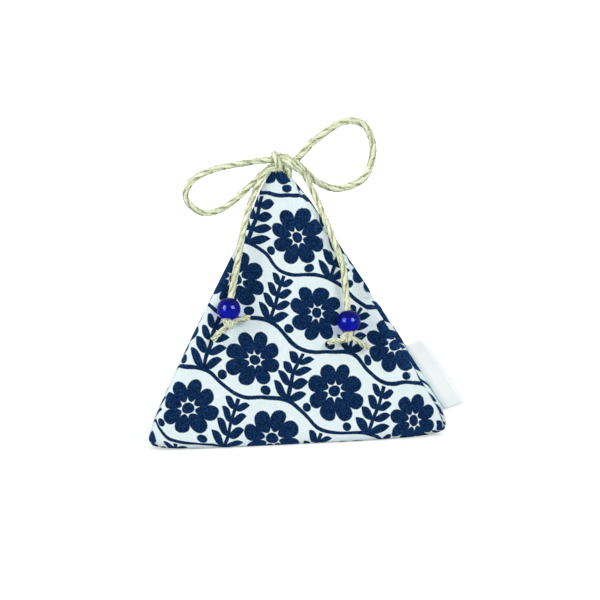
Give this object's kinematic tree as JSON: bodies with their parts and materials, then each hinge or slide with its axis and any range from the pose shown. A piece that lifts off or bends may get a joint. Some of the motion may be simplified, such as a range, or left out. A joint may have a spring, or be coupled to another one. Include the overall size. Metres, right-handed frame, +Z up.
{
  "type": "lavender sachet",
  "caption": "Tetrahedral printed-cotton pillow filled with lavender, tied at its top loop with a beaded twine bow, with a folded tape label in its side seam.",
  "frame": {"origin": "on the flat of the base, straight under the top corner", "axes": "+Z up through the top corner, -Y towards the front face that carries the beads, +X towards the closing seam and the label"},
  "size_m": [0.1044, 0.0892, 0.1012],
  "materials": {
    "printed_cotton": "plain-weave off-white cotton with a navy foliage print",
    "lavender_buds": "loose dried buds",
    "sewing_thread": "matt polyester thread",
    "twine": "two-ply straw-coloured twine",
    "bead_glass": "glossy deep cobalt blue glass",
    "label_tape": "satin white tape, blank"
  },
  "bodies": {
    "sachet": {"cover": "printed_cotton", "lavender_filling": "lavender_buds", "closing_seam_thread": "sewing_thread", "end_seam_thread": "sewing_thread", "side_seam_thread": "sewing_thread", "hanging_loop": "twine", "bow_knot": "twine", "label_tab": "label_tape"},
    "left_loop": {"bow_loop_left": "twine"},
    "right_loop": {"bow_loop_right": "twine"},
    "left_tail": {"twine_tail_left": "twine", "end_knot_left": "twine"},
    "right_tail": {"twine_tail_right": "twine", "end_knot_right": "twine"},
    "left_bead": {"bead_left": "bead_glass"},
    "right_bead": {"bead_right": "bead_glass"},
    "label": {"side_label": "label_tape"}
  },
  "joints": [
    {"name": "left_loop_bend", "type": "hinge", "parent": "sachet", "child": "left_loop", "pos_m": [-0.00345, -0.00059, 0.08843], "axis": [0, -0.9428, 0.3333], "range_deg": [-15, 8], "stiffness_Nm_per_rad": 0.002},
    {"name": "right_loop_bend", "type": "hinge", "parent": "sachet", "child": "right_loop", "pos_m": [0.00565, -0.00059, 0.08843], "axis": [0, -0.9428, 0.3333], "range_deg": [-15, 15], "stiffness_Nm_per_rad": 0.002},
    {"name": "left_tail_swing", "type": "hinge", "parent": "sachet", "child": "left_tail", "pos_m": [-0.0051, -0.00341, 0.08646], "axis": [-1, 0, 0], "range_deg": [0, 120]},
    {"name": "right_tail_swing", "type": "hinge", "parent": "sachet", "child": "right_tail", "pos_m": [0.0067, -0.00371, 0.08561], "axis": [-1, 0, 0], "range_deg": [0, 120]},
    {"name": "left_bead_slide", "type": "slide", "parent": "left_tail", "child": "left_bead", "axis": [0.2538, 0.3224, 0.9119], "range_m": [0, 0.01]},
    {"name": "right_bead_slide", "type": "slide", "parent": "right_tail", "child": "right_bead", "axis": [-0.0349, 0.3331, 0.9422], "range_m": [0, 0.01]},
    {"name": "label_bend", "type": "hinge", "parent": "sachet", "child": "label", "pos_m": [0.0433, -0.025, 0.01906], "axis": [0.5, -0.2887, -0.8165], "range_deg": [-60, 60], "stiffness_Nm_per_rad": 0.0001}
  ]
}
